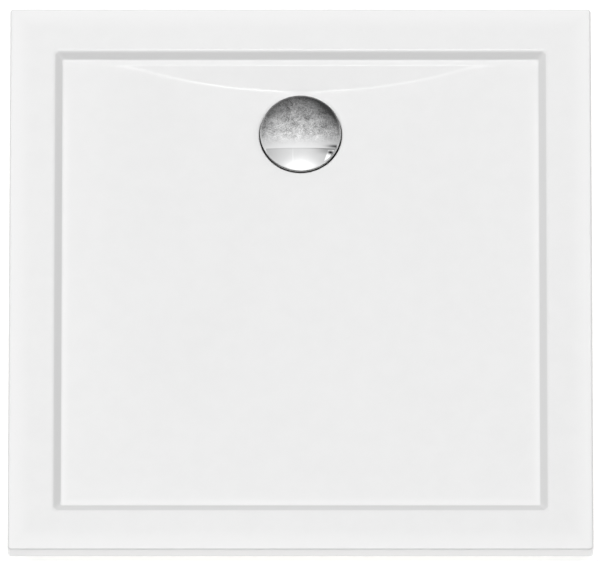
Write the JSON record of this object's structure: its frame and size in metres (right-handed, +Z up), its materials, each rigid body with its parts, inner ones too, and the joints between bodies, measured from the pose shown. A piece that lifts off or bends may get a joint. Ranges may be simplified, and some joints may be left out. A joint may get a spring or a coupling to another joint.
{
  "type": "shower tray",
  "caption": "Square white acrylic shower tray with a stepped basin, a floor that falls to a chrome-covered waste at the rear, a trap and adjustable feet.",
  "frame": {"origin": "on the floor, below the middle of the tray", "axes": "+Z up, +Y to the rear where the waste is, +X to the right seen from the front"},
  "size_m": [0.8, 0.8, 0.11],
  "materials": {
    "white_acrylic": "gloss",
    "glass_fibre_laminate": "rough",
    "filled_resin": "matte",
    "chipboard": "raw",
    "zinc_steel": "zinc plated",
    "stainless": "satin",
    "black_rubber": "matte",
    "white_polypropylene": "moulded",
    "grey_polypropylene": "moulded",
    "grey_pipe": "extruded",
    "chrome": "polished",
    "black_polyamide": "moulded"
  },
  "bodies": {
    "root": {"acrylic_shell": "white_acrylic", "laminate_backing": "glass_fibre_laminate", "bonding_bed": "filled_resin", "base_board": "chipboard", "socket_screws": "zinc_steel", "lock_nuts": "zinc_steel", "waste_flange": "stainless", "flange_screws": "stainless", "upper_gasket": "black_rubber", "lower_gasket": "black_rubber", "trap_bowl": "white_polypropylene", "trap_body": "white_polypropylene", "outlet_spigot": "white_polypropylene", "outlet_nut": "white_polypropylene", "outlet_seal": "black_rubber", "outlet_pipe": "grey_pipe", "leg_socket_1": "black_polyamide", "leg_socket_2": "black_polyamide", "leg_socket_3": "black_polyamide", "leg_socket_4": "black_polyamide", "leg_socket_5": "black_polyamide"},
    "dip_tube": {"dip_tube_insert": "grey_polypropylene", "dip_tube_seal": "black_rubber"},
    "cover": {"waste_cover": "chrome", "cover_carrier": "grey_polypropylene"},
    "foot_pad_1": {"foot_pad_1": "black_polyamide"},
    "foot_stud_1": {"foot_stud_1": "zinc_steel"},
    "foot_pad_2": {"foot_pad_2": "black_polyamide"},
    "foot_stud_2": {"foot_stud_2": "zinc_steel"},
    "foot_pad_3": {"foot_pad_3": "black_polyamide"},
    "foot_stud_3": {"foot_stud_3": "zinc_steel"},
    "foot_pad_4": {"foot_pad_4": "black_polyamide"},
    "foot_stud_4": {"foot_stud_4": "zinc_steel"},
    "foot_pad_5": {"foot_pad_5": "black_polyamide"},
    "foot_stud_5": {"foot_stud_5": "zinc_steel"}
  },
  "joints": [
    {"name": "dip_tube_lift", "type": "slide", "parent": "root", "child": "dip_tube", "axis": [0, 0, 1], "range_m": [0, 0.12]},
    {"name": "cover_lift", "type": "slide", "parent": "dip_tube", "child": "cover", "axis": [0, 0, 1], "range_m": [0, 0.12]},
    {"name": "foot_1_height", "type": "slide", "parent": "root", "child": "foot_pad_1", "axis": [0, 0, 1], "range_m": [-0.015, 0.005]},
    {"name": "foot_1_turn", "type": "hinge", "parent": "foot_pad_1", "child": "foot_stud_1", "pos_m": [-0.235, -0.235, 0.04], "axis": [0, 0, 1], "range_deg": [-3111, 1054]},
    {"name": "foot_2_height", "type": "slide", "parent": "root", "child": "foot_pad_2", "axis": [0, 0, 1], "range_m": [-0.015, 0.005]},
    {"name": "foot_2_turn", "type": "hinge", "parent": "foot_pad_2", "child": "foot_stud_2", "pos_m": [0.235, -0.235, 0.04], "axis": [0, 0, 1], "range_deg": [-3111, 1054]},
    {"name": "foot_3_height", "type": "slide", "parent": "root", "child": "foot_pad_3", "axis": [0, 0, 1], "range_m": [-0.015, 0.005]},
    {"name": "foot_3_turn", "type": "hinge", "parent": "foot_pad_3", "child": "foot_stud_3", "pos_m": [-0.235, 0.235, 0.04], "axis": [0, 0, 1], "range_deg": [-3111, 1054]},
    {"name": "foot_4_height", "type": "slide", "parent": "root", "child": "foot_pad_4", "axis": [0, 0, 1], "range_m": [-0.015, 0.005]},
    {"name": "foot_4_turn", "type": "hinge", "parent": "foot_pad_4", "child": "foot_stud_4", "pos_m": [0.235, 0.235, 0.04], "axis": [0, 0, 1], "range_deg": [-3111, 1054]},
    {"name": "foot_5_height", "type": "slide", "parent": "root", "child": "foot_pad_5", "axis": [0, 0, 1], "range_m": [-0.015, 0.005]},
    {"name": "foot_5_turn", "type": "hinge", "parent": "foot_pad_5", "child": "foot_stud_5", "pos_m": [0, -0.0235, 0.04], "axis": [0, 0, 1], "range_deg": [-3111, 1054]}
  ],
  "couplings": [
    {"joint": "foot_1_turn", "follows": "foot_1_height", "rad_per_m": 3590.4},
    {"joint": "foot_2_turn", "follows": "foot_2_height", "rad_per_m": 3590.4},
    {"joint": "foot_3_turn", "follows": "foot_3_height", "rad_per_m": 3590.4},
    {"joint": "foot_4_turn", "follows": "foot_4_height", "rad_per_m": 3590.4},
    {"joint": "foot_5_turn", "follows": "foot_5_height", "rad_per_m": 3590.4}
  ]
}
